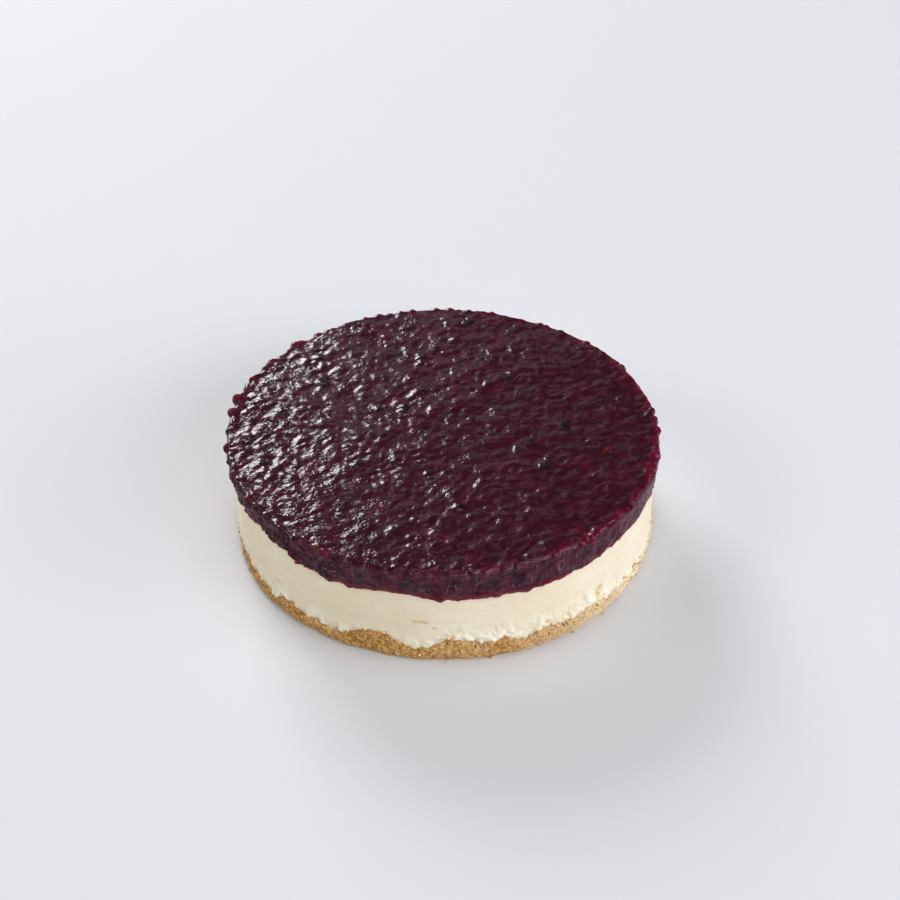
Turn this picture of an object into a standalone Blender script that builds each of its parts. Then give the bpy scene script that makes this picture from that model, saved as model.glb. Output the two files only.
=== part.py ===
"""A whole round cheesecake, 152 mm across: a pressed crumb base, a cream cheese layer and a set fruit
topping. Metres, +Z up, the origin at the centre of the underside, the shown side towards -Y.

Each layer is one solid that runs through the cake. It is skinned from rings of points, which start at
the centre of its underside, go up its wall and end at the centre of its top.
"""

import math
import random

import bmesh
import bpy
from mathutils import Vector, noise

# Driving dimensions of the whole cake
RIM_RADIUS = 0.0760
CAKE_HEIGHT = 0.0396
BASE_THICKNESS = 0.0055
TOPPING_THICKNESS = 0.0122
TOPPING_FOOT = CAKE_HEIGHT - TOPPING_THICKNESS
LAYER_GAP = 0.0003

# The walls lean in below the topping's rim, and the rim sits a little to the left of the base
BASE_RADIUS = 0.0750
CHEESE_RADIUS = 0.0746
TOPPING_FOOT_RADIUS = 0.0749
RIM_SHIFT = -0.0006
CORE_RADIUS = 0.0600

# Places where the rim stands out a little, by azimuth, rise and half width in degrees
RIM_HUMPS = ((38, 0.0008, 24), (92, 0.0004, 18))

# Fineness of the skins: the top has a ring of points every 2 mm, with six more points on each
TOP_RINGS = 36
POINTS_PER_RING = 6
RIM_POINTS = TOP_RINGS * POINTS_PER_RING
CORE_POINTS = 36

# Relief of the topping: slow swells, streaks left by the spatula, pulp and small whole berries
SWELL_SIZE, SWELL_RISE = 0.026, 0.00045
STREAK_LENGTH, STREAK_WIDTH, STREAK_RISE = 0.0130, 0.0050, 0.00050
STREAK_ANGLE, STREAK_FAN = math.radians(34), math.radians(-16)
PULP_SIZE, PULP_RISE = 0.0048, 0.00100
PULP_MEAN = 0.6
BERRIES, BERRY_SPACING, BERRY_SEED = 90, 0.0066, 11
BERRY_SMALLEST, BERRY_LARGEST = 0.0015, 0.0025
BERRY_SHOWING, BERRY_SUNK = 1.1, 0.5
RIM_DROP, RIM_BEND = 0.0005, 0.04

# Relief of the walls
TOPPING_WALL_WAVE, TOPPING_WALL_RISE = 0.0060, 0.00035
CHEESE_WAVE, CHEESE_RISE = 0.0300, 0.00025
TORN_SIZE, TORN_DEPTH, TORN_REACH = 0.0052, 0.00100, 0.55
CRUMB_SIZE, CRUMB_RISE, BASE_BULGE = 0.0038, 0.00050, 0.0003

# The line where the topping ends on the cheese, and the line where the crumb base ends on the wall.
# Each is a lowest height with small waves, and humps by azimuth, rise and half width.
FOOT_LOWEST, FOOT_WAVE, FOOT_RISE = 0.0267, 0.0060, 0.00040
FOOT_HUMPS = (
    (-143, 0.0036, 13),
    (-102, 0.0022, 7),
    (-33, 0.0020, 18),
    (48, 0.0014, 16),
    (126, 0.0021, 18),
)
EDGE_LOWEST, EDGE_WAVE, EDGE_RISE = 0.0036, 0.0042, 0.00045
EDGE_HUMPS = (
    (-136, 0.0032, 3),
    (-125, 0.0019, 3.5),
    (-108, 0.0064, 7.5),
    (-88, 0.0056, 6),
    (-76, 0.0040, 6.5),
    (-64, 0.0027, 4.5),
    (-49, 0.0036, 9.5),
    (-31, 0.0022, 7),
    (-6, 0.0019, 11),
    (24, 0.0042, 8),
    (47, 0.0021, 6),
    (71, 0.0037, 9),
    (102, 0.0024, 6),
    (119, 0.0049, 8),
    (148, 0.0023, 7),
    (171, 0.0010, 8),
)


def clear_scene():
    for item in list(bpy.data.objects):
        bpy.data.objects.remove(item, do_unlink=True)


def mix(start, end, share):
    return start + (end - start) * share


def on_circle(radius, azimuth, z, shift=0):
    return Vector((radius * math.cos(azimuth) + shift, radius * math.sin(azimuth), z))


def wave(point, size, seed):
    """Smooth noise from -1 to 1, with bumps about this size."""
    return noise.noise(point / size + Vector((0, 0, seed)))


def dome(distance, radius):
    """Height of a round bump of height 1 at this distance from its middle."""
    share = min(distance / radius, 1)
    return math.sqrt(1 - share * share)


def humps_at(azimuth, humps):
    """Sum of smooth humps, each given by its middle, its rise and its half width in degrees."""
    total = 0
    for middle, rise, half_width in humps:
        turn = math.remainder(azimuth - math.radians(middle), math.tau) / math.radians(half_width)
        total += rise * math.exp(-turn * turn)
    return total


def rim_radius(azimuth):
    return RIM_RADIUS + humps_at(azimuth, RIM_HUMPS)


def topping_foot(azimuth):
    rim = on_circle(RIM_RADIUS, azimuth, 0)
    return FOOT_LOWEST + FOOT_RISE * wave(rim, FOOT_WAVE, 2) + humps_at(azimuth, FOOT_HUMPS)


def base_edge(azimuth):
    rim = on_circle(RIM_RADIUS, azimuth, 0)
    return EDGE_LOWEST + EDGE_RISE * wave(rim, EDGE_WAVE, 4) + humps_at(azimuth, EDGE_HUMPS)


def scatter_berries():
    """Whole berries that stand out of the top, as (x, y, radius), spread evenly over it."""
    draw = random.Random(BERRY_SEED)
    berries = []
    while len(berries) < BERRIES:
        reach = (RIM_RADIUS - BERRY_SMALLEST) * math.sqrt(draw.random())
        azimuth = draw.uniform(-math.pi, math.pi)
        radius = draw.uniform(BERRY_SMALLEST, BERRY_LARGEST)
        x = reach * math.cos(azimuth)
        y = reach * math.sin(azimuth)
        if all(math.hypot(x - a, y - b) > BERRY_SPACING for a, b, _ in berries):
            berries.append((x, y, radius))
    return berries


def streak_height(x, y):
    """The spatula's streaks, which fan out slowly across the top."""
    angle = STREAK_ANGLE + STREAK_FAN * y / RIM_RADIUS
    along = x * math.cos(angle) + y * math.sin(angle)
    across = y * math.cos(angle) - x * math.sin(angle)
    return STREAK_RISE * wave(Vector((along * STREAK_WIDTH / STREAK_LENGTH, across, 0)), STREAK_WIDTH, 3)


def pulp_height(point):
    """Rounded lumps of pulp, side by side."""
    nearest = noise.voronoi(point / PULP_SIZE)[0][0]
    return PULP_RISE * (dome(nearest, 1) - PULP_MEAN)


def topping_height(x, y, berries):
    """The height of the topping's top, from the middle of its rim."""
    point = Vector((x, y, 0))
    height = SWELL_RISE * wave(point, SWELL_SIZE, 1) + streak_height(x, y) + pulp_height(point)
    for berry_x, berry_y, radius in berries:
        distance = math.hypot(x - berry_x, y - berry_y)
        if distance < radius:
            height = max(height, radius * (BERRY_SHOWING * dome(distance, radius) - BERRY_SUNK))
    bend = min(max(0, math.hypot(x, y) / RIM_RADIUS - 1 + RIM_BEND) / RIM_BEND, 1)
    return CAKE_HEIGHT + height - RIM_DROP * bend * bend


def topping_wall(azimuth, share, berries):
    """A point of the topping's wall, share 0 at its foot and 1 at its rim."""
    rim = on_circle(rim_radius(azimuth), azimuth, 0)
    z = mix(topping_foot(azimuth), topping_height(rim.x, rim.y, berries), share)
    wobble = TOPPING_WALL_RISE * wave(rim + Vector((0, 0, z)), TOPPING_WALL_WAVE, 5)
    radius = mix(TOPPING_FOOT_RADIUS, rim_radius(azimuth), share) + wobble
    return on_circle(radius, azimuth, z, RIM_SHIFT * share)


def cheese_wall(azimuth, share):
    """A point of the cheese's wall, torn near the crumb base and smooth above."""
    z = mix(base_edge(azimuth) + LAYER_GAP, topping_foot(azimuth) - LAYER_GAP, share)
    point = on_circle(CHEESE_RADIUS, azimuth, z)
    torn = max(0, 1 - share / TORN_REACH) * max(0, wave(point, TORN_SIZE, 6))
    radius = CHEESE_RADIUS + CHEESE_RISE * wave(point, CHEESE_WAVE, 7) - TORN_DEPTH * torn
    return on_circle(radius, azimuth, z)


def base_wall(azimuth, share):
    """A point of the crumb base's wall."""
    z = base_edge(azimuth) * share
    grain = CRUMB_RISE * wave(on_circle(BASE_RADIUS, azimuth, z), CRUMB_SIZE, 8)
    return on_circle(BASE_RADIUS + BASE_BULGE * math.sin(math.pi * share) + grain, azimuth, z)


def ring(count, place):
    """Points at even azimuths, each where place puts it."""
    return [place(math.tau * step / count) for step in range(count)]


def zip_rings(mesh, lower, upper):
    """Triangles between two rings of vertices, which may differ in number."""
    low = high = 0
    while low < len(lower) or high < len(upper):
        start, opposite = lower[low % len(lower)], upper[high % len(upper)]
        if (low + 0.5) / len(lower) <= (high + 0.5) / len(upper):
            low += 1
            mesh.faces.new((start, lower[low % len(lower)], opposite))
        else:
            high += 1
            mesh.faces.new((start, upper[high % len(upper)], opposite))


def fan(mesh, centre, loop):
    """Triangles between a centre and the ring round it, facing along the ring's axis."""
    for step, corner in enumerate(loop):
        mesh.faces.new((centre, corner, loop[(step + 1) % len(loop)]))


def skinned_solid(name, bottom, rings, top, material):
    """One closed body from the centre of its underside, through its rings, to the centre of its top."""
    mesh = bmesh.new()
    loops = [[mesh.verts.new(point) for point in points] for points in rings]
    fan(mesh, mesh.verts.new(bottom), loops[0][::-1])
    for lower, upper in zip(loops, loops[1:]):
        zip_rings(mesh, lower, upper)
    fan(mesh, mesh.verts.new(top), loops[-1])
    data = bpy.data.meshes.new(name)
    mesh.to_mesh(data)
    mesh.free()
    data.materials.append(material)
    data.shade_smooth()
    data.set_sharp_from_angle(angle=math.radians(60))
    bpy.context.scene.collection.objects.link(bpy.data.objects.new(name, data))


def food_material(name, colour, roughness):
    material = bpy.data.materials.new(name)
    material.use_nodes = True
    shader = material.node_tree.nodes["Principled BSDF"]
    shader.inputs["Base Color"].default_value = (*colour, 1)
    shader.inputs["Roughness"].default_value = roughness
    shader.inputs["Metallic"].default_value = 0
    return material


def build_base():
    """The pressed biscuit crumbs: a flat underside, a grainy wall and an uneven upper edge."""
    walls = [ring(RIM_POINTS, lambda a, s=share: base_wall(a, s)) for share in (0, 0.5, 1)]
    under = ring(CORE_POINTS, lambda a: on_circle(CORE_RADIUS, a, 0))
    core = ring(CORE_POINTS, lambda a: on_circle(CORE_RADIUS, a, BASE_THICKNESS))
    material = food_material("biscuit_crumb", (0.48, 0.25, 0.08), 0.9)
    top = Vector((0, 0, BASE_THICKNESS))
    skinned_solid("crumb_base", Vector(), [under, *walls, core], top, material)


def build_cheese():
    """The cream cheese layer, which follows the crumbs below and the topping above."""
    low, high = BASE_THICKNESS + LAYER_GAP, TOPPING_FOOT - LAYER_GAP
    walls = [ring(RIM_POINTS, lambda a, s=share: cheese_wall(a, s)) for share in (0, 0.14, 0.3, 0.6, 1)]
    under = ring(CORE_POINTS, lambda a: on_circle(CORE_RADIUS, a, low))
    core = ring(CORE_POINTS, lambda a: on_circle(CORE_RADIUS, a, high))
    material = food_material("cream_cheese", (0.84, 0.75, 0.55), 0.45)
    skinned_solid("cheese_layer", Vector((0, 0, low)), [under, *walls, core], Vector((0, 0, high)), material)


def build_topping():
    """The set fruit topping, with streaks, pulp and berries all over its top."""
    berries = scatter_berries()

    def top_point(share, azimuth):
        reach = rim_radius(azimuth) * share
        flat = on_circle(reach, azimuth, 0)
        return on_circle(reach, azimuth, topping_height(flat.x, flat.y, berries), RIM_SHIFT)

    under = ring(CORE_POINTS, lambda a: on_circle(CORE_RADIUS, a, TOPPING_FOOT))
    walls = [
        ring(RIM_POINTS, lambda a, s=share: topping_wall(a, s, berries)) for share in (0, 0.35, 0.72, 1)
    ]
    tops = [
        ring(index * POINTS_PER_RING, lambda a, s=index / TOP_RINGS: top_point(s, a))
        for index in range(TOP_RINGS - 1, 0, -1)
    ]
    material = food_material("berry_jelly", (0.045, 0.004, 0.012), 0.2)
    bottom = Vector((0, 0, TOPPING_FOOT))
    skinned_solid("fruit_topping", bottom, [under, *walls, *tops], top_point(0, 0), material)


clear_scene()
build_base()
build_cheese()
build_topping()
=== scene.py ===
import math
import random
from collections import namedtuple

import bmesh
import bpy
from mathutils import Euler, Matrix, Vector, kdtree, noise


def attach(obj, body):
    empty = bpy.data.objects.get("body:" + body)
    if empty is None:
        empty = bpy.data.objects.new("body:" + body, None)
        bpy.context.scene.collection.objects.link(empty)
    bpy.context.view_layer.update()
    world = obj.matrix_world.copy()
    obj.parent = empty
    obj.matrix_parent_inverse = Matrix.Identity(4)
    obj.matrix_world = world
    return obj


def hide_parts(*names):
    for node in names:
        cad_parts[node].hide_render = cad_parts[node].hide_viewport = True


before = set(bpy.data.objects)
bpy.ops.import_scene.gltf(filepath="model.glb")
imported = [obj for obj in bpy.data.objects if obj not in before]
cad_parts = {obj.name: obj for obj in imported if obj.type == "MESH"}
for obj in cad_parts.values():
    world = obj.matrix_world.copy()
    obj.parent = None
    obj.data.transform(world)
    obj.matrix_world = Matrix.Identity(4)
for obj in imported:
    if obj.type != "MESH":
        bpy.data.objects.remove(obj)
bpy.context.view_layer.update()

# Sizes of the cake, as in its solids: metres, +Z up, the shown side towards -Y
RIM_RADIUS = 0.0760
CAKE_HEIGHT = 0.0396
BASE_THICKNESS = 0.0055
TOPPING_FOOT = CAKE_HEIGHT - 0.0122
BASE_RADIUS = 0.0750
CHEESE_RADIUS = 0.0746
TOPPING_FOOT_RADIUS = 0.0749
RIM_SHIFT = -0.0006
CORE_RADIUS = 0.0600

# The spatula's streaks: their direction at the middle, and how far they turn towards the back
STREAK_ANGLE, STREAK_FAN = math.radians(34), math.radians(-16)

# Humps round the cake: (azimuth in degrees, rise, half width in degrees)
RIM_HUMPS = ((38, 0.0008, 24), (92, 0.0004, 18))
FOOT_LOWEST = 0.0267
FOOT_HUMPS = (
    (-143, 0.0036, 13), (-102, 0.0022, 7), (-33, 0.0020, 18), (48, 0.0014, 16), (126, 0.0021, 18),
)
FOOT_DRIPS = (
    (-131, 0.0006, 1.5), (-91.5, 0.0006, 1.1), (-140, 0.0004, 0.9), (-70, 0.0004, 1.4), (35, 0.0009, 1.3),
)
EDGE_LOWEST = 0.0036
EDGE_HUMPS = (
    (-136, 0.0032, 3), (-125, 0.0019, 3.5), (-108, 0.0064, 7.5), (-88, 0.0056, 6), (-76, 0.0040, 6.5),
    (-64, 0.0027, 4.5), (-49, 0.0036, 9.5), (-31, 0.0022, 7), (-6, 0.0019, 11), (24, 0.0042, 8),
    (47, 0.0021, 6), (71, 0.0037, 9), (102, 0.0024, 6), (119, 0.0049, 8), (148, 0.0023, 7),
    (171, 0.0010, 8),
)
BASE_HOLLOWS = ((-174, 0.0011, 15), (-22, 0.0007, 16))

# Amounts round the cake, in the same way: (azimuth in degrees, amount, half width in degrees)
RIM_GLOW = ((8, 0.95, 42), (-48, 0.40, 18), (72, 0.5, 14), (-80, 0.3, 16))
TORN_WALL = ((-130, 1.0, 14), (-160, 0.6, 14))
TORN_CHEESE = ((-50, 0.0056, 24), (-148, 0.0050, 18))
KNIFE_MARKS = ((-106, 0.9, 9), (-5, 0.3, 14))
# Paler base as painted light: most on the right side, some at the back
PAINTED_LIGHT_ON_BASE = ((-22, 1.0, 38), (100, 0.6, 50))

# Layers of relief: (height, size of its bumps, seed)
FOOT_RAGGED = (0.0004, 0.006, 2)
FOOT_TEETH = ((0.0006, 0.0026, 33), (0.0004, 0.0012, 34))
EDGE_RAGGED = ((0.00045, 0.0042, 4), (0.0004, 0.0013, 9))
RIM_RAGGED = ((0.0003, 0.0032, 64), (0.0003, 0.0075, 65))
TOP_SWELL = ((0.00040, 0.026, 1), (0.00022, 0.0095, 27))
TOP_RIDGES, TOP_GRAIN = (0.00011, 0.0042, 3), (0.00008, 0.0018, 12)
TOP_PULP = (0.00018, 0.0028, 23)
TOP_WRINKLES = (0.00015, 0.0012, 14)
STREAK_BENDS = ((0.0034, 0.012, 19), (0.0014, 0.0045, 22))
CREASE_HEIGHT, CREASE_SIZE, CREASE_WIDTH = 0.00029, 0.0052, 0.24
WALL_UNEVEN = (0.00030, 0.007, 5)
CHEESE_UNEVEN = (0.00025, 0.03, 7)
CHEESE_LINES, CHEESE_GRAIN = (0.00007, 0.009, 45), (0.00004, 0.0016, 46)
BASE_UNEVEN = (0.0005, 0.0038, 8)

# Relief of the topping's wall: (height where smooth, height where torn, size of its bumps, seed)
WALL_RELIEF = ((0.00035, 0.00145, 0.0032, 36), (0.00022, 0.00090, 0.0015, 37))

# Sizes of the crumbs pressed into the base
GRAIN_SIZE, CLUMP_SIZE, LUMP_SIZE = 0.00085, 0.0022, 0.0024

# Camera: where it stands, and its tilt from level and turn towards +X
CAMERA_PLACE = (-0.0008, -0.4199, 0.3590)
CAMERA_TILT, CAMERA_TURN = math.radians(38.15), math.radians(0.37)
CAMERA_LENS, CAMERA_SENSOR = 60, 36
CAMERA_NEAREST = 0.01

# Fineness of the skins
TOP_RINGS, POINTS_PER_RING = 150, 6
RIM_POINTS = TOP_RINGS * POINTS_PER_RING
CORE_POINTS = 60
TOPPING_ROWS, CHEESE_ROWS, BASE_ROWS = 24, 40, 34
BASE_POINTS = 1800


def mix(start, end, share):
    return start + (end - start) * share


def smooth(low, high, value):
    share = min(max((value - low) / (high - low), 0), 1)
    return share * share * (3 - 2 * share)


def on_circle(radius, azimuth, z, shift=0):
    return Vector((radius * math.cos(azimuth) + shift, radius * math.sin(azimuth), z))


def wave(point, size, seed):
    """Smooth noise from -1 to 1, with bumps about this size."""
    return noise.noise(point / size + Vector((0, 0, seed)))


def dome(distance, radius):
    share = min(distance / radius, 1)
    return math.sqrt(1 - share * share)


def humps_at(azimuth, humps):
    total = 0
    for middle, rise, half_width in humps:
        turn = math.remainder(azimuth - math.radians(middle), math.tau) / math.radians(half_width)
        total += rise * math.exp(-turn * turn)
    return total


def rim_radius(azimuth):
    return RIM_RADIUS + humps_at(azimuth, RIM_HUMPS)


def relief(point, *layers):
    """The height of these layers of relief at a point."""
    return sum(height * wave(point, size, seed) for height, size, seed in layers)


def topping_foot(azimuth):
    rim = on_circle(RIM_RADIUS, azimuth, 0)
    return FOOT_LOWEST + relief(rim, FOOT_RAGGED) + humps_at(azimuth, FOOT_HUMPS)


def base_edge(azimuth):
    rim = on_circle(RIM_RADIUS, azimuth, 0)
    return EDGE_LOWEST + relief(rim, *EDGE_RAGGED) + humps_at(azimuth, EDGE_HUMPS)


def streak_frame(x, y):
    """Distances along and across the spatula's streaks, which fan out slowly."""
    angle = STREAK_ANGLE + STREAK_FAN * y / RIM_RADIUS
    return x * math.cos(angle) + y * math.sin(angle), y * math.cos(angle) - x * math.sin(angle)


MOST_MISSES = 400000


def scatter(seed, count, spacing, smallest, largest, reach):
    """Seeded discs (x, y, radius), none closer than spacing."""
    draw = random.Random(seed)
    grid = {}
    found = []
    misses = 0
    while len(found) < count and misses < MOST_MISSES:
        distance = reach * math.sqrt(draw.random())
        azimuth = draw.uniform(-math.pi, math.pi)
        radius = draw.uniform(smallest, largest)
        x, y = distance * math.cos(azimuth), distance * math.sin(azimuth)
        column, row = int(x // spacing), int(y // spacing)
        near = [p for i in (-1, 0, 1) for j in (-1, 0, 1) for p in grid.get((column + i, row + j), ())]
        if any(math.hypot(x - a, y - b) < spacing for a, b in near):
            misses += 1
            continue
        grid.setdefault((column, row), []).append((x, y))
        found.append((x, y, radius))
    return found


# Dark skins of berries and orange-brown bits on top: (x, y) in millimetres from the middle
DARK_BERRIES = (
    (-23.0, 11.3), (-14.4, 10.2), (-57.6, 9.0), (42.3, 0.0), (-29.3, -21.4), (-5.1, -26.0), (5.1, -44.0),
    (9.6, 66.0), (23.5, 29.0), (-44.0, 26.0), (-8.0, 44.0), (-34.0, -47.0), (-62.0, -20.0), (35.0, -22.0),
)
BROWN_BITS = ((6.2, 61.6), (4.0, 23.5), (-46.3, -32.8), (56.5, -13.5))
BROWN_LENGTH, BROWN_WIDTH, BROWN_RISE = 0.0028, 0.0008, 0.0004
MILLIMETRES = 1000

# Scattered lumps: (seed, count, spacing, smallest radius, largest radius, how far out they reach)
WHOLE_BERRIES = (11, 90, 0.0066, 0.0015, 0.0025, RIM_RADIUS - 0.0015)
SOFT_PULP = (5, 1300, 0.0028, 0.0009, 0.0022, RIM_RADIUS + 0.0006)
SMALL_BEADS = (13, 330, 0.0038, 0.0007, 0.0013, RIM_RADIUS - 0.0010)

# Beads of pulp that stick out at the rim: (azimuth in degrees, size)
RIM_BEADS = (
    (137, 0.0017), (129, 0.0012), (120, 0.0008), (113.5, 0.0012), (109, 0.0013), (102.5, 0.0010),
    (99, 0.0011), (92, 0.0013), (149, 0.0010), (156, 0.0008), (167.5, 0.0016), (173, 0.0013),
    (-172, 0.0010), (-160, 0.0009), (-149, 0.0010), (75, 0.0010), (60, 0.0008), (44, 0.0011),
    (-97, 0.0009), (-80, 0.0008), (-62, 0.0009), (-54, 0.0012), (-50.5, 0.0012), (-33, 0.0009),
    (-12, 0.0010),
)
MORE_BEADS = 104
BEAD_INSET, LEAST_BEAD = 0.0006, 0.0012


def scatter_rim_lumps():
    """Lumps that stick out at the rim, most and largest at the back left: (azimuth, size)."""
    draw = random.Random(8)
    found = [(math.radians(azimuth), size) for azimuth, size in RIM_BEADS]
    for _ in range(MORE_BEADS):
        azimuth = draw.uniform(-math.pi, math.pi)
        side = 0.5 - 0.5 * math.cos(azimuth + math.radians(45))
        if draw.random() < 0.65 + 0.30 * side:
            found.append((azimuth, 0.0003 + (0.0005 + 0.0007 * side) * draw.random() ** 2.2))
    return found


Lump = namedtuple("Lump", "x y length width angle rise dark brown", defaults=(0.0, 0.0))


def make_lumps():
    """All the lumps on top: berries under their skins, bits, soft pulp, and beads at the rim."""
    draw = random.Random(21)
    lumps = []
    for x, y in DARK_BERRIES:
        radius = draw.uniform(0.0018, 0.0030)
        angle = draw.uniform(0, 3)
        place = (x / MILLIMETRES, y / MILLIMETRES)
        lumps.append(Lump(*place, radius * 1.2, radius, angle, radius * 0.15, dark=1.0))
    for x, y in BROWN_BITS:
        place = (x / MILLIMETRES, y / MILLIMETRES)
        angle = draw.uniform(-0.3, 0.9)
        lumps.append(Lump(*place, BROWN_LENGTH, BROWN_WIDTH, angle, BROWN_RISE, brown=1.0))
    for x, y, radius in scatter(*WHOLE_BERRIES):
        lumps.append(Lump(x, y, radius * 1.25, radius, draw.uniform(0, 3), radius * 0.22))
    for x, y, radius in scatter(*SOFT_PULP):
        angle = STREAK_ANGLE + draw.gauss(0, 0.8)
        rise = radius * draw.uniform(0.06, 0.22)
        lumps.append(Lump(x, y, radius * draw.uniform(1.0, 1.7), radius, angle, rise))
    for x, y, radius in scatter(*SMALL_BEADS):
        if draw.random() < 0.25 + 0.65 * smooth(0.040, -0.020, x + 0.7 * y):
            lumps.append(Lump(x, y, radius * 1.2, radius, draw.uniform(0, 3), radius * 0.34))
    for azimuth, size in RIM_LUMPS:
        place = on_circle(RIM_RADIUS - BEAD_INSET, azimuth, 0)
        radius = max(LEAST_BEAD, size) * draw.uniform(1.0, 1.3)
        lumps.append(Lump(place.x, place.y, radius * 1.2, radius, azimuth + math.pi / 2, size * 0.85))
    return lumps


def make_lump_tree():
    tree = kdtree.KDTree(len(LUMPS))
    for number, lump in enumerate(LUMPS):
        tree.insert((lump.x, lump.y, 0), number)
    tree.balance()
    return tree


RIM_LUMPS = scatter_rim_lumps()
LUMPS = make_lumps()
LUMP_TREE = make_lump_tree()
LUMP_REACH = 0.0046


def lumps_at(x, y):
    """Height of the lumps here, and how dark and how brown they are."""
    power = dark = brown = 0
    edge = 1 + 0.45 * wave(Vector((x, y, 0)), 0.0013, 51)
    for _, number, _ in LUMP_TREE.find_range((x, y, 0), LUMP_REACH):
        lump = LUMPS[number]
        dx, dy = x - lump.x, y - lump.y
        c, s = math.cos(lump.angle), math.sin(lump.angle)
        share = edge * (((dx * c + dy * s) / lump.length) ** 2 + ((dy * c - dx * s) / lump.width) ** 2)
        if share < 1:
            power += (lump.rise * (1 - share) ** 1.3) ** 3
            weight = smooth(0.0, 0.75, 1 - share)
            dark = max(dark, lump.dark * weight)
            brown = max(brown, lump.brown * weight)
    return power ** (1 / 3), dark, brown


def crinkles_at(x, y, dark):
    """How finely wrinkled the top is, 0 to 1: most at the front left, in patches elsewhere."""
    point = Vector((x, y, 0))
    front_left = smooth(0.022, 0.060, -0.92 * x - 0.38 * y + 0.012 * wave(point, 0.018, 20))
    patches = smooth(0.20, 0.42, wave(point, 0.0055, 17)) * mix(1.0, 0.6, smooth(0.0, 0.04, x))
    ragged = 0.72 + 0.7 * wave(point, 0.0040, 18)
    return min(1, max(0.26, 0.9 * front_left * ragged, 0.75 * patches, 0.5 * dark))


def strength_at(x, y):
    """How strong the relief is: full next to the left rim, about half elsewhere, and uneven."""
    from_left = mix(1.08, 0.46, smooth(-0.074, -0.044, x + 0.2 * y))
    return from_left * (1 + 0.8 * wave(Vector((x, y, 0)), 0.013, 24))


def topping_top(x, y):
    """The topping's top: (height, dark, brown, crinkle)."""
    point = Vector((x, y, 0))
    along, across = streak_frame(x, y)
    across += relief(point, *STREAK_BENDS)
    lump, dark, brown = lumps_at(x, y)
    crinkle = crinkles_at(x, y, dark)
    strength = strength_at(x, y)
    bent = point + Vector((0.0012 * wave(point, 0.003, 26), 0, 0))
    creased = smooth(-CREASE_WIDTH, CREASE_WIDTH, wave(bent, CREASE_SIZE, 25))
    height = relief(point, *TOP_SWELL) + mix(strength, 1, 0.4) * CREASE_HEIGHT * creased
    height += strength * relief(Vector((along * 0.7, across, 0)), TOP_RIDGES)
    height += strength * relief(Vector((along * 0.75, across, 0)), TOP_GRAIN)
    height += strength * relief(point, TOP_PULP) + crinkle * relief(point, TOP_WRINKLES)
    return CAKE_HEIGHT + height + lump * mix(strength, 1, dark), dark, brown, crinkle


def rim_bulge(azimuth):
    """How far the lumps at the rim stick out here."""
    return max(
        size * dome(abs(math.remainder(azimuth - middle, math.tau)) * RIM_RADIUS, max(size, 0.0006) * 1.5)
        for middle, size in RIM_LUMPS
    )


def rim_glow(azimuth, share):
    """How much light shines red through the topping near its rim: most on the right."""
    steady = humps_at(azimuth, RIM_GLOW)
    place = on_circle(RIM_RADIUS * share, azimuth, 0)
    patchy = 0.5 * smooth(0.12, 0.5, wave(place, 0.011, 61))
    ragged = 1 + 1.1 * wave(place, 0.0045, 62) + 0.7 * wave(place, 0.0018, 63)
    width = 0.034 * ragged
    edge = smooth(1 - width - 0.012, 1 - 0.3 * width, share)
    return min(1, steady * ragged + patchy * (1 - steady)) * edge


def topping_point(share, azimuth):
    """A point of the top, at this share of the way out from the middle, and its masks."""
    bulge = rim_bulge(azimuth) if share > 0.96 else 0
    flat = on_circle(rim_radius(azimuth) * share, azimuth, 0)
    z, dark, brown, crinkle = topping_top(flat.x, flat.y)
    bend = smooth(0.98, 1.0, share)
    glow = max(rim_glow(azimuth, share), smooth(0.0006, 0.0012, bulge) * smooth(0.97, 0.985, share))
    reach = rim_radius(azimuth) * share + bulge * smooth(0.975, 1.0, share)
    reach += relief(flat, *RIM_RAGGED) * smooth(0.95, 1.0, share) - 0.0006 * smooth(0.985, 1.0, share)
    return on_circle(reach, azimuth, z - 0.0004 * bend * bend, RIM_SHIFT), (0.0, dark, brown, glow, crinkle)


def torn_at(azimuth):
    """Where the topping's wall is torn rather than smooth: 1 and 0."""
    seen = humps_at(azimuth, TORN_WALL)
    patches = smooth(0.0, 0.5, wave(on_circle(1, azimuth, 0), 0.5, 31))
    return min(1, seen + patches * smooth(-0.1, 0.4, math.sin(azimuth)))


# Marks on the topping's wall: (azimuth in degrees, height above its foot, half width, half height)
SHOWN_BERRIES = (
    (-100, 0.0050, 0.0017, 0.0012), (-97, 0.0032, 0.0009, 0.0008), (-125, 0.0062, 0.0013, 0.0010),
)
SHOWN_SKINS = (
    (-114, 0.0006, 0.0042, 0.0016), (-91.5, 0.0002, 0.0014, 0.0012), (-84, 0.0005, 0.0030, 0.0008),
)
WALL_STAINS = ((-131, 0.0000, 0.0016, 0.0013), (-58, 0.0004, 0.0010, 0.0008))
MORE_BERRIES, MORE_SKINS = 46, 14


def make_wall_marks():
    """Berries and skins on the wall: those that show, small berries all round, skins at the back."""
    draw = random.Random(31)
    berries, skins = list(SHOWN_BERRIES), list(SHOWN_SKINS)
    for _ in range(MORE_BERRIES):
        azimuth, size = draw.uniform(-180, 180), draw.uniform(0.0004, 0.0010)
        berries.append((azimuth, draw.uniform(0.001, 0.011), size, size * 0.8))
    for _ in range(MORE_SKINS):
        azimuth, height = draw.uniform(0, 180), draw.uniform(0, 0.002)
        skins.append((azimuth, height, draw.uniform(0.001, 0.004), draw.uniform(0.0007, 0.0015)))
    return berries, skins


WALL_BERRIES, WALL_SKINS = make_wall_marks()


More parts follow.
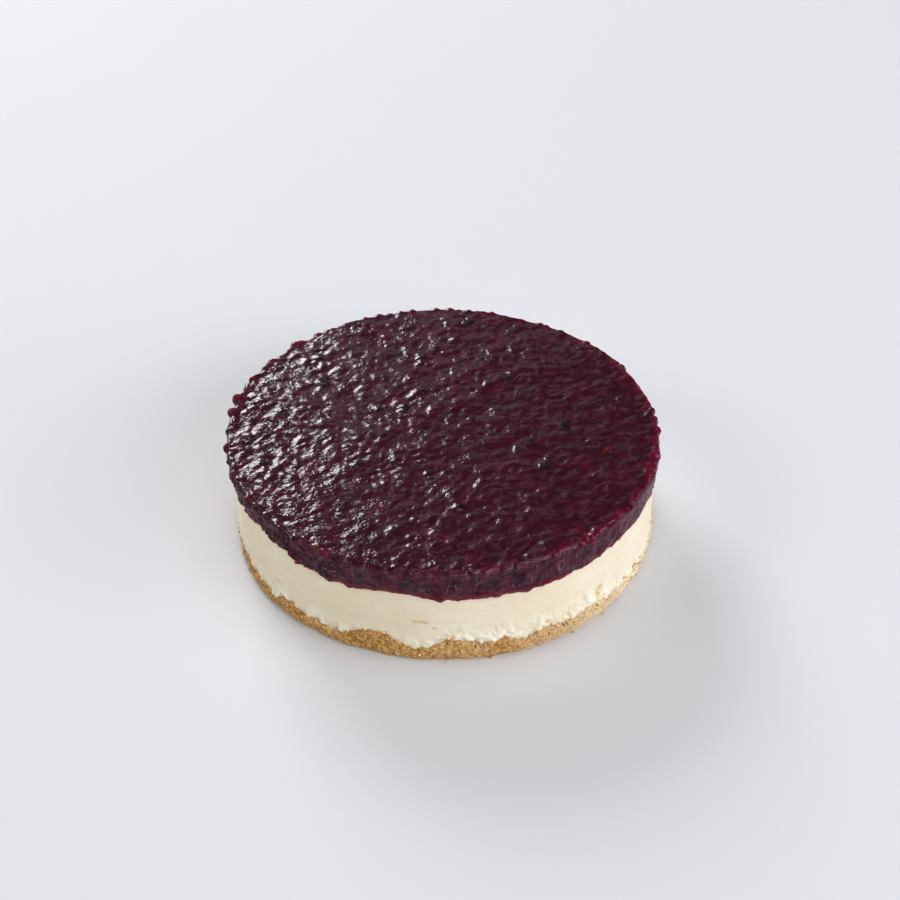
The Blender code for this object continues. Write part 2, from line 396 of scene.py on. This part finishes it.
def mark_here(azimuth, rise, marks):
    """How much of a mark covers this place on the wall, 0 to 1."""
    most = 0
    for middle, height, half_width, half_height in marks:
        turn = math.remainder(azimuth - math.radians(middle), math.tau) * RIM_RADIUS / half_width
        if abs(turn) < 1.6:
            share = turn * turn + ((rise - height) / half_height) ** 2
            most = max(most, smooth(1.5, 0.5, share))
    return most


def topping_wall(azimuth, share):
    """A point of the topping's wall, at this share of its height, and its masks."""
    rim, _ = topping_point(1, azimuth)
    circle = on_circle(RIM_RADIUS, azimuth, 0)
    drip = humps_at(azimuth, FOOT_DRIPS)
    foot = topping_foot(azimuth) - drip - 0.0003 - relief(circle, *FOOT_TEETH)
    z = mix(foot, rim.z, share)
    point = on_circle(RIM_RADIUS, azimuth, z)
    torn = torn_at(azimuth)
    bulge = rim_bulge(azimuth)
    flow = Vector((point.x, point.y, point.z * 1.6))
    wobble = relief(point, WALL_UNEVEN) + 1.1 * bulge * smooth(0.78, 0.94, share)
    for smooth_height, torn_height, size, seed in WALL_RELIEF:
        wobble += mix(smooth_height, torn_height, torn) * wave(flow, size, seed)
    curl = 0.0005 * (smooth(0.0, 0.10, share) - 1) - 0.0007 * smooth(0.86, 1.0, share) ** 2
    hang = 0.6 * drip * smooth(0.35, 0.05, share)
    radius = mix(TOPPING_FOOT_RADIUS, rim_radius(azimuth), share) + wobble + curl + hang
    rise = z - foot
    fringe = 0.0020 + 0.0016 * wave(circle, 0.0060, 39)
    glow = max(
        0.8 * smooth(fringe + 0.0015, fringe - 0.0012, rise),
        smooth(0.0006, 0.0012, bulge) * smooth(0.75, 0.9, share),
        rim_glow(azimuth, 1) * smooth(0.88, 1, share),
        mark_here(azimuth, rise, WALL_SKINS),
    )
    dark = mark_here(azimuth, rise, WALL_BERRIES)
    brown = mark_here(azimuth, rise, WALL_STAINS)
    is_wall = 1 - smooth(0.92, 1.0, share)
    return on_circle(radius, azimuth, z, RIM_SHIFT * share), (is_wall, dark, brown, glow, 0.2 + 0.8 * torn)


# Small hollows in the cheese, coloured darker tan: (azimuth in degrees, height, half width, half height)
CHEESE_HOLLOWS = (
    (-46.5, 0.0100, 0.0010, 0.0028), (-45.8, 0.0122, 0.0008, 0.0014), (-75, 0.0075, 0.0008, 0.0013),
    (-63, 0.0092, 0.0010, 0.0008), (-96.5, 0.0165, 0.0030, 0.0005), (-93.1, 0.0141, 0.0006, 0.0005),
    (-139, 0.0118, 0.0016, 0.0005), (62, 0.0105, 0.0012, 0.0016), (118, 0.0120, 0.0010, 0.0009),
    (160, 0.0098, 0.0013, 0.0007),
)


def torn_zone(azimuth, z):
    """How torn the cheese is here: near the crumbs, and less where a knife passed."""
    place = on_circle(CHEESE_RADIUS, azimuth, 0)
    reach = 0.0072 + 0.0035 * wave(place, 0.010, 41) + humps_at(azimuth, TORN_CHEESE)
    smooth_part = humps_at(azimuth, KNIFE_MARKS)
    return smooth(base_edge(azimuth) + reach, base_edge(azimuth), z) * max(0, 1 - smooth_part)


def cheese_wall(azimuth, share):
    """A point of the cheese's wall, at this share of its height, and its masks."""
    low, high = base_edge(azimuth) - 0.0004, topping_foot(azimuth) + 0.0003
    z = mix(low, high, share)
    point = on_circle(CHEESE_RADIUS, azimuth, z)
    torn = torn_zone(azimuth, z)
    upright = Vector((point.x, point.y, point.z * 0.45))
    level = Vector((point.x, point.y, point.z * 4))
    flakes = wave(upright, 0.0029, 42) + 0.7 * wave(point, 0.0015, 43) + 0.4 * wave(point, 0.0008, 44)
    hollow = mark_here(azimuth, z, CHEESE_HOLLOWS)
    pit = max(0, wave(point, 0.0040, 47) - 0.50) * (0.3 + torn) * 3
    radius = CHEESE_RADIUS + relief(point, CHEESE_UNEVEN, CHEESE_GRAIN) + relief(level, CHEESE_LINES)
    radius += torn * (0.00095 * flakes - 0.0001) - 0.0004 * smooth(0.97, 1.0, share)
    radius -= 0.0006 * hollow + 0.0005 * pit
    # Whiter where the torn flakes stick out
    fleck = min(max(0.45 + 1.1 * flakes, 0), 1) * torn
    drop = topping_foot(azimuth) - z
    bleed = smooth(0.0022, 0.0002, drop) * smooth(-0.4, 0.5, wave(point, 0.0045, 49))
    return on_circle(radius, azimuth, z), (torn, fleck, min(1, 0.6 * pit + hollow), bleed)


def part_of_one(value):
    return value - math.floor(value)


def grains(point):
    """Packed crumbs: (height, tone from 0 to 1, and how much painted shade darkens the pits and the gaps
    between grains).
    """
    distances, features = noise.voronoi(point / GRAIN_SIZE)
    clump = noise.voronoi(point / CLUMP_SIZE)[1][0]
    lump = noise.voronoi(point / LUMP_SIZE)[0][0]
    own_tone = part_of_one(noise.cell(features[0] * 7.3 + Vector((3, 5, 7))))
    tone = 0.6 * own_tone + 0.4 * part_of_one(noise.cell(clump * 5.1 + Vector((2, 8, 1))))
    pit = smooth(0.70, 0.78, tone) * smooth(0.8, 0.3, distances[0])
    height = 0.00026 * dome(distances[0], 0.9) + 0.00040 * dome(lump, 1.0) - 0.0003
    height += 0.00044 * (tone - 0.5) - 0.0009 * pit
    gap_shade = smooth(0.22, 0.0, distances[1] - distances[0])
    return height, tone, max(pit, gap_shade * 0.5)


def base_wall(azimuth, share):
    """A point of the base's wall, at this share of its height, and its masks."""
    circle = on_circle(BASE_RADIUS, azimuth, 0)
    fine, coarse = circle / 0.0011 + Vector((9, 2, 4)), circle / 0.0024 + Vector((1, 5, 8))
    z = share * (base_edge(azimuth) + 0.0004 * (noise.cell(fine) + 0.7 * noise.cell(coarse)))
    point = on_circle(BASE_RADIUS, azimuth, z)
    height, tone, pit = grains(point)
    worn = 0.0009 + 0.0006 * wave(circle, 0.0035, 56)
    radius = BASE_RADIUS + 0.0001 + 0.0003 * math.sin(math.pi * share)
    radius += relief(point, BASE_UNEVEN) + height - humps_at(azimuth, BASE_HOLLOWS)
    radius -= worn * smooth(0.24, 0.0, share) + 0.0003 * smooth(0.9, 1.0, share)
    # Painted light: the base paler on the right and at the back, with uneven patches
    pale_tone_and_light = humps_at(azimuth, PAINTED_LIGHT_ON_BASE) + 0.3 * wave(point, 0.009, 55)
    return on_circle(radius, azimuth, z), (tone, pit, min(max(pale_tone_and_light, 0), 1))


def ring(count, place):
    return [place(math.tau * step / count) for step in range(count)]


def zip_rings(faces, lower, upper):
    """Join two rings by triangles, also where their numbers of points differ."""
    low = high = 0
    while low < len(lower) or high < len(upper):
        start, opposite = lower[low % len(lower)], upper[high % len(upper)]
        if (low + 0.5) / len(lower) <= (high + 0.5) / len(upper):
            low += 1
            faces.append((start, lower[low % len(lower)], opposite))
        else:
            high += 1
            faces.append((start, upper[high % len(upper)], opposite))


def add_to_scene(name, points, faces, masks, mask_names, material):
    data = bpy.data.meshes.new(name)
    data.from_pydata(points, [], faces)
    for index, mask_name in enumerate(mask_names):
        layer = data.attributes.new(mask_name, "FLOAT", "POINT")
        layer.data.foreach_set("value", [mask[index] for mask in masks])
    data.materials.append(material)
    data.shade_smooth()
    piece = bpy.data.objects.new(name, data)
    bpy.context.scene.collection.objects.link(piece)
    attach(piece, "root")
    return piece


def skin(name, bottom, rings, top, mask_names, material):
    """A closed skin: its underside's centre, rings of (point, masks), and its top's centre."""
    points, masks, loops, faces = [], [], [], []
    for line in rings:
        loops.append(range(len(points), len(points) + len(line)))
        points += [point for point, _ in line]
        masks += [mask for _, mask in line]
    for lower, upper in zip(loops, loops[1:]):
        zip_rings(faces, lower, upper)
    for (point, mask), loop, turned in ((bottom, loops[0], True), (top, loops[-1], False)):
        centre = len(points)
        points.append(point)
        masks.append(mask)
        for step, corner in enumerate(loop):
            beside = loop[(step + 1) % len(loop)]
            faces.append((centre, beside, corner) if turned else (centre, corner, beside))
    return add_to_scene(name, points, faces, masks, mask_names, material)


def inner(radius, z):
    """A hidden ring or centre inside the cake."""
    blank = (0.0, 0.0, 0.0, 0.0, 0.0)
    if radius == 0:
        return Vector((0, 0, z)), blank
    return ring(CORE_POINTS, lambda a: (on_circle(radius, a, z), blank))


# Materials
class Shader:
    """A material's nodes, with short calls to add and join them."""

    def __init__(self, name):
        self.material = bpy.data.materials.new(name)
        self.material.use_nodes = True
        self.tree = self.material.node_tree
        self.surface = self.tree.nodes["Principled BSDF"]
        self.place = self.tree.nodes.new("ShaderNodeTexCoord").outputs["Object"]

    def put(self, socket, value):
        if hasattr(value, "is_output"):
            self.tree.links.new(value, socket)
        else:
            socket.default_value = value

    def set(self, **values):
        for name, value in values.items():
            self.put(self.surface.inputs[name.replace("_", " ")], value)

    def mask(self, name):
        node = self.tree.nodes.new("ShaderNodeAttribute")
        node.attribute_name = name
        return node.outputs["Fac"]

    def noise(self, scale, detail=3, roughness=0.5, place=None, distortion=0):
        node = self.tree.nodes.new("ShaderNodeTexNoise")
        self.put(node.inputs["Vector"], place or self.place)
        node.inputs["Scale"].default_value = scale
        node.inputs["Detail"].default_value = detail
        node.inputs["Roughness"].default_value = roughness
        node.inputs["Distortion"].default_value = distortion
        return node.outputs["Fac"]

    def cells(self, scale):
        """A pattern of cells, each with a tone of its own."""
        node = self.tree.nodes.new("ShaderNodeTexVoronoi")
        self.put(node.inputs["Vector"], self.place)
        node.inputs["Scale"].default_value = scale
        return node.outputs["Color"]

    def stretch(self, lengths, turn=0):
        """Places for a pattern drawn out by these lengths, turned about the upright."""
        node = self.tree.nodes.new("ShaderNodeMapping")
        node.vector_type = "TEXTURE"
        self.put(node.inputs["Vector"], self.place)
        node.inputs["Scale"].default_value = lengths
        node.inputs["Rotation"].default_value = (0, 0, turn)
        return node.outputs["Vector"]

    def ramp(self, value, low, high, start=0, end=1):
        node = self.tree.nodes.new("ShaderNodeMapRange")
        node.interpolation_type = "SMOOTHSTEP"
        self.put(node.inputs["Value"], value)
        for name, number in (("From Min", low), ("From Max", high), ("To Min", start), ("To Max", end)):
            node.inputs[name].default_value = number
        return node.outputs["Result"]

    def math(self, operation, first, second):
        node = self.tree.nodes.new("ShaderNodeMath")
        node.operation = operation
        self.put(node.inputs[0], first)
        self.put(node.inputs[1], second)
        return node.outputs["Value"]

    def blend(self, factor, first, second):
        node = self.tree.nodes.new("ShaderNodeMix")
        node.data_type = "RGBA"
        self.put(node.inputs["Factor"], factor)
        self.put(node.inputs[6], first)
        self.put(node.inputs[7], second)
        return node.outputs[2]

    def bump(self, height, distance, strength=1, normal=None):
        node = self.tree.nodes.new("ShaderNodeBump")
        node.inputs["Strength"].default_value = strength
        node.inputs["Distance"].default_value = distance
        self.put(node.inputs["Height"], height)
        if normal is not None:
            self.put(node.inputs["Normal"], normal)
        return node.outputs["Normal"]


def rgb(red, green, blue):
    """A colour given as on a screen, from 0 to 255, made linear."""
    values = [c / 255 for c in (red, green, blue)]
    return (*[v / 12.92 if v <= 0.04045 else ((v + 0.055) / 1.055) ** 2.4 for v in values], 1)


def top_colour(s, dark, brown, glow):
    tone = s.ramp(s.noise(260, 4, 0.6), 0.3, 0.7)
    colour = s.blend(tone, rgb(41, 4, 16), rgb(55, 8, 25))
    patches = s.ramp(s.noise(110, 3, 0.6), 0.54, 0.72, 0, 0.6)
    colour = s.blend(patches, colour, rgb(76, 4, 27))
    # Painted sheen: mauve swirls along the streaks stand in for the soft reflection of the dim lights
    # behind
    sheen_swirls = s.ramp(s.noise(430, 3, 0.55, s.stretch((1.9, 1, 1), STREAK_ANGLE), 0.8), 0.46, 0.64)
    sheen_areas = s.ramp(s.noise(120, 3, 0.6, s.stretch((1.8, 1, 1), STREAK_ANGLE)), 0.38, 0.6, 0.05, 0.35)
    colour = s.blend(s.math("MULTIPLY", sheen_swirls, sheen_areas), colour, rgb(86, 42, 58))
    bits = s.ramp(s.noise(310, 3, 0.7), 0.66, 0.72, 0, 0.7)
    colour = s.blend(bits, colour, rgb(22, 10, 20))
    colour = s.blend(s.math("MULTIPLY", dark, 0.75), colour, rgb(20, 9, 17))
    colour = s.blend(s.math("MULTIPLY", brown, 0.6), colour, rgb(106, 36, 28))
    return s.blend(s.math("MULTIPLY", glow, 0.75), colour, rgb(104, 2, 36))


def wall_colour(s, dark, brown, glow, crinkle):
    tone = s.ramp(s.noise(300, 4, 0.7, s.stretch((1, 1, 1.4))), 0.34, 0.66)
    colour = s.blend(tone, rgb(26, 3, 13), rgb(84, 21, 44))
    navy = s.ramp(s.noise(150, 3, 0.65), 0.50, 0.60, 0, 0.8)
    navy = s.math("MULTIPLY", navy, s.ramp(crinkle, 0.2, 0.8, 0.5, 1))
    colour = s.blend(navy, colour, rgb(22, 9, 24))
    # Brush marks up the wall, painted mauve as sheen
    brushed_sheen = s.ramp(s.noise(900, 3, 0.6, s.stretch((1, 1, 8))), 0.35, 0.75, 0, 0.45)
    colour = s.blend(brushed_sheen, colour, rgb(96, 46, 66))
    # Scratch lines painted pale as sheen, in scattered areas
    scratch_sheen = s.ramp(s.noise(760, 3, 0.6, s.stretch((1, 1, 3.5)), 0.8), 0.60, 0.70)
    scratch_sheen_areas = s.ramp(s.noise(95, 2), 0.40, 0.60, 0.1, 0.7)
    colour = s.blend(s.math("MULTIPLY", scratch_sheen, scratch_sheen_areas), colour, rgb(132, 98, 114))
    # Smears painted pale as sheen where the wall is torn
    smear_sheen = s.ramp(s.noise(330, 4, 0.7, s.stretch((1, 1, 0.55)), 0.6), 0.55, 0.68)
    smear_sheen = s.math("MULTIPLY", smear_sheen, s.math("MULTIPLY", crinkle, 0.85))
    colour = s.blend(smear_sheen, colour, rgb(136, 104, 120))
    colour = s.blend(s.math("MULTIPLY", dark, 0.8), colour, rgb(24, 20, 38))
    colour = s.blend(s.math("MULTIPLY", glow, 0.75), colour, rgb(118, 8, 38))
    return s.blend(brown, colour, rgb(164, 78, 50))


def topping_material():
    s = Shader("berry_topping")
    wall, dark, brown, glow = s.mask("wall"), s.mask("dark"), s.mask("brown"), s.mask("glow")
    crinkle = s.mask("crinkle")
    fine = s.bump(s.math("MULTIPLY", s.noise(1050, 1.5, 0.5), crinkle), 0.00030)
    cuts = s.math("MULTIPLY", s.noise(480, 4, 0.65, s.stretch((1, 1, 1.6))), wall)
    wet = s.math("ADD", s.ramp(crinkle, 0.26, 0.8, 0.15, 0.12), s.ramp(s.noise(500, 2), 0.3, 0.7, 0, 0.04))
    dry = s.ramp(s.noise(170, 3, 0.6), 0.40, 0.60, 0.12, 0.34)
    top, side = top_colour(s, dark, brown, glow), wall_colour(s, dark, brown, glow, crinkle)
    s.set(
        Base_Color=s.blend(wall, top, side),
        Roughness=s.math("ADD", wet, s.math("MULTIPLY", wall, 0.13)),
        Normal=s.bump(cuts, 0.0010, 0.8, fine),
        Specular_IOR_Level=s.math("SUBTRACT", 0.46, s.math("MULTIPLY", wall, dry)),
        IOR=1.38,
    )
    return s.material


def cheese_material():
    s = Shader("cream_cheese_layer")
    torn, fleck, pit, bleed = s.mask("torn"), s.mask("fleck"), s.mask("pit"), s.mask("bleed")
    cloud = s.ramp(s.noise(45, 3), 0.3, 0.7)
    colour = s.blend(cloud, rgb(238, 225, 196), rgb(245, 234, 211))
    streaks = s.ramp(s.noise(160, 3, 0.6, s.stretch((4, 4, 0.6))), 0.4, 0.75, 0, 0.3)
    colour = s.blend(streaks, colour, rgb(228, 210, 176))
    spots = s.ramp(s.noise(240, 3, 0.6), 0.62, 0.74, 0, 0.35)
    colour = s.blend(spots, colour, rgb(226, 204, 158))
    colour = s.blend(s.math("MULTIPLY", torn, 0.5), colour, rgb(238, 226, 192))
    colour = s.blend(s.math("MULTIPLY", fleck, 0.9), colour, rgb(252, 248, 234))
    # Darker tan in the pits and hollows
    colour = s.blend(s.math("MULTIPLY", pit, 0.75), colour, rgb(222, 190, 134))
    colour = s.blend(s.math("MULTIPLY", bleed, 0.35), colour, rgb(226, 176, 160))
    fine = s.bump(s.noise(900, 4, 0.6), 0.0002, 0.35)
    flaky = s.bump(s.math("MULTIPLY", s.noise(1300, 3, 0.65), torn), 0.0004, 0.6, fine)
    s.set(
        Base_Color=colour,
        Roughness=s.ramp(s.noise(300, 2), 0.3, 0.7, 0.42, 0.58),
        Normal=flaky,
        Subsurface_Weight=0.30,
        Subsurface_Radius=(1.0, 0.75, 0.45),
        Subsurface_Scale=0.0012,
    )
    return s.material


def base_material():
    s = Shader("biscuit_crumb_base")
    tone, pit, pale_tone_and_light = s.mask("tone"), s.mask("pit"), s.mask("pale_tone_and_light")
    colour = s.blend(tone, rgb(136, 74, 20), rgb(255, 204, 112))
    orange = s.ramp(s.cells(1300), 0.60, 0.80, 0, 0.6)
    colour = s.blend(orange, colour, rgb(186, 112, 52))
    light = s.ramp(s.noise(900, 3, 0.7), 0.55, 0.68, 0, 0.8)
    colour = s.blend(light, colour, rgb(242, 214, 162))
    specks = s.ramp(s.noise(1150, 3, 0.6), 0.64, 0.72, 0, 0.7)
    colour = s.blend(specks, colour, rgb(88, 48, 16))
    # Painted light on the base's right side and back; on loose crumbs, their own paler tone
    colour = s.blend(pale_tone_and_light, colour, rgb(255, 234, 194))
    # Painted shade in the sunken pits and in the gaps between grains
    colour = s.blend(s.math("MULTIPLY", pit, 0.90), colour, rgb(84, 44, 14))
    fine = s.bump(s.noise(2000, 3, 0.7), 0.0002, 0.7)
    s.set(
        Base_Color=colour,
        Roughness=s.ramp(s.noise(800, 2), 0.3, 0.7, 0.75, 0.95),
        Normal=fine,
        Subsurface_Weight=0.08,
        Subsurface_Radius=(1.0, 0.6, 0.3),
        Subsurface_Scale=0.0006,
    )
    return s.material


def floor_material():
    s = Shader("pale_floor")
    colour = s.blend(s.noise(3, 2), rgb(214, 216, 220), rgb(218, 219, 223))
    s.set(
        Base_Color=colour,
        Roughness=0.75,
        Specular_IOR_Level=0.2,
        Normal=s.bump(s.noise(400, 2), 0.0001, 0.1),
    )
    return s.material


# Pieces
TOPPING_MASKS = ("wall", "dark", "brown", "glow", "crinkle")
CHEESE_MASKS = ("torn", "fleck", "pit", "bleed")
BASE_MASKS = ("tone", "pit", "pale_tone_and_light")


def build_topping():
    core = inner(CORE_RADIUS, TOPPING_FOOT)
    walls = [
        ring(RIM_POINTS, lambda a, s=row / TOPPING_ROWS: topping_wall(a, s)) for row in range(TOPPING_ROWS)
    ]
    tops = [
        ring(index * POINTS_PER_RING, lambda a, s=index / TOP_RINGS: topping_point(s, a))
        for index in range(TOP_RINGS, 0, -1)
    ]
    piece = skin(
        "topping", inner(0, TOPPING_FOOT), [core, *walls, *tops], topping_point(0, 0),
        TOPPING_MASKS, topping_material(),
    )
    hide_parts("fruit_topping")


def build_cheese():
    walls = [
        ring(RIM_POINTS, lambda a, s=row / CHEESE_ROWS: cheese_wall(a, s)) for row in range(CHEESE_ROWS + 1)
    ]
    low, high = BASE_THICKNESS, TOPPING_FOOT
    rings = [inner(CORE_RADIUS, low), *walls, inner(CORE_RADIUS, high)]
    piece = skin("cheese", inner(0, low), rings, inner(0, high), CHEESE_MASKS, cheese_material())
    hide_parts("cheese_layer")


def build_base():
    walls = [
        ring(BASE_POINTS, lambda a, s=row / BASE_ROWS: base_wall(a, s)) for row in range(BASE_ROWS + 1)
    ]
    rings = [inner(CORE_RADIUS, 0), *walls, inner(CORE_RADIUS, BASE_THICKNESS)]
    piece = skin(
        "crumbs_pressed", inner(0, 0), rings, inner(0, BASE_THICKNESS), BASE_MASKS, base_material()
    )
    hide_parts("crumb_base")


def crumb_shape(middle, size, draw):
    """A crumb: the 12 corners and 20 faces of a blunt lump, unevenly pulled about."""
    lump = bmesh.new()
    bmesh.ops.create_icosphere(lump, subdivisions=1, radius=1)
    turn = Euler((draw.uniform(0, 6), draw.uniform(0, 6), draw.uniform(0, 6))).to_matrix()
    stretch = Vector((1, draw.uniform(0.7, 1.0), draw.uniform(0.55, 0.9)))
    points = [middle + size * (turn @ (v.co * stretch * draw.uniform(0.75, 1.1))) for v in lump.verts]
    faces = [tuple(v.index for v in face.verts) for face in lump.faces]
    lump.free()
    return points, faces


CRUMB_COUNT, CRUMB_KINDS = 520, 14
SMALLEST_CRUMB, LARGEST_CRUMB = 0.00022, 0.00055
LOWEST_POINT = 0.00002


def crumb_place(kind, azimuth, size, draw):
    """Radius and height of a crumb: kind 0 lies loose, 1 to 7 cling above, the rest to the side."""
    if kind == 0:
        return BASE_RADIUS + abs(draw.gauss(0.0004, 0.0007)), size * 0.5
    if kind < 8:
        return CHEESE_RADIUS + 0.0002, base_edge(azimuth) + abs(draw.gauss(0, 0.0006))
    return BASE_RADIUS + 0.0003, base_edge(azimuth) * draw.uniform(0.15, 0.9)


def build_crumbs():
    """Crumbs that cling along the base's edges, and a few that lie loose beside it."""
    draw = random.Random(77)
    points, faces, masks = [], [], []
    for number in range(CRUMB_COUNT):
        azimuth = draw.uniform(-math.pi, math.pi)
        size = draw.uniform(SMALLEST_CRUMB, LARGEST_CRUMB)
        radius, z = crumb_place(number % CRUMB_KINDS, azimuth, size, draw)
        corners, sides = crumb_shape(on_circle(radius, azimuth, z), size, draw)
        first = len(points)
        points += [Vector((p.x, p.y, max(p.z, LOWEST_POINT))) for p in corners]
        faces += [tuple(first + corner for corner in side) for side in sides]
        masks += [(draw.random(), 0.0, draw.uniform(0.1, 0.7))] * len(corners)
    piece = add_to_scene("crumbs_loose", points, faces, masks, BASE_MASKS, base_material())
    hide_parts("crumb_base")


# Stage
FLOOR_HALF = 3.0


def build_floor():
    corners = [(x * FLOOR_HALF, y * FLOOR_HALF, 0) for x, y in ((-1, -1), (1, -1), (1, 1), (-1, 1))]
    data = bpy.data.meshes.new("floor")
    data.from_pydata(corners, [], [(0, 1, 2, 3)])
    data.materials.append(floor_material())
    floor = bpy.data.objects.new("floor", data)
    bpy.context.scene.collection.objects.link(floor)


# Panels of light: (name, place, height of its target, (width, height), power, colour)
PANELS = (
    ("window_back_left", (-1.20, 2.65, 1.36), 0.02, (1.35, 1.25), 76.0, (0.95, 0.96, 1.0)),
    ("dim_back_left", (-1.40, 2.00, 1.90), 0.03, (2.4, 1.8), 7.0, (1.0, 0.94, 1.0)),
    ("dim_back_low", (-1.50, 3.23, 1.95), 0.03, (4.6, 1.6), 8.5, (1.0, 0.94, 1.0)),
    ("left_far", (-2.6, -0.6, 1.7), 0.02, (1.8, 1.4), 28.0, (1.0, 0.97, 0.84)),
    ("front_far", (0.2, -3.1, 2.6), 0.02, (2.4, 1.6), 11.0, (1.0, 1.0, 1.0)),
    ("front_right", (1.9, -2.5, 2.1), 0.02, (2.6, 1.6), 60.0, (0.94, 0.97, 1.0)),
    ("overhead_far", (0.6, 0.3, 3.2), 0.02, (2.0, 2.0), 21.0, (1.0, 1.0, 1.0)),
    ("right", (1.25, -0.45, 0.50), 0.02, (0.8, 0.6), 8.0, (1.0, 0.98, 1.0)),
)
WORLD_COLOUR, WORLD_STRENGTH = (0.93, 0.95, 1.0, 1), 0.10


def add_panel(name, place, target_height, size, power, colour):
    """A soft rectangular light that faces the cake's axis at this height."""
    lamp = bpy.data.lights.new(name, "AREA")
    lamp.shape = "RECTANGLE"
    lamp.size, lamp.size_y = size
    lamp.energy = power
    lamp.color = colour
    holder = bpy.data.objects.new(name, lamp)
    holder.location = place
    aim = Vector((0, 0, target_height)) - Vector(place)
    holder.rotation_euler = aim.to_track_quat("-Z", "Y").to_euler()
    bpy.context.scene.collection.objects.link(holder)


def build_light():
    for panel in PANELS:
        add_panel(*panel)
    world = bpy.data.worlds.new("studio")
    world.use_nodes = True
    background = world.node_tree.nodes["Background"]
    background.inputs["Color"].default_value = WORLD_COLOUR
    background.inputs["Strength"].default_value = WORLD_STRENGTH
    bpy.context.scene.world = world


def build_camera():
    lens = bpy.data.cameras.new("camera")
    lens.lens = CAMERA_LENS
    lens.sensor_width = CAMERA_SENSOR
    lens.clip_start = CAMERA_NEAREST
    camera = bpy.data.objects.new("camera", lens)
    camera.location = CAMERA_PLACE
    camera.rotation_euler = Euler((math.pi / 2 - CAMERA_TILT, 0, -CAMERA_TURN))
    bpy.context.scene.collection.objects.link(camera)
    bpy.context.scene.camera = camera


build_camera()
build_topping()
build_cheese()
build_base()
build_crumbs()
build_floor()
build_light()
bpy.context.scene.view_settings.view_transform = "Standard"
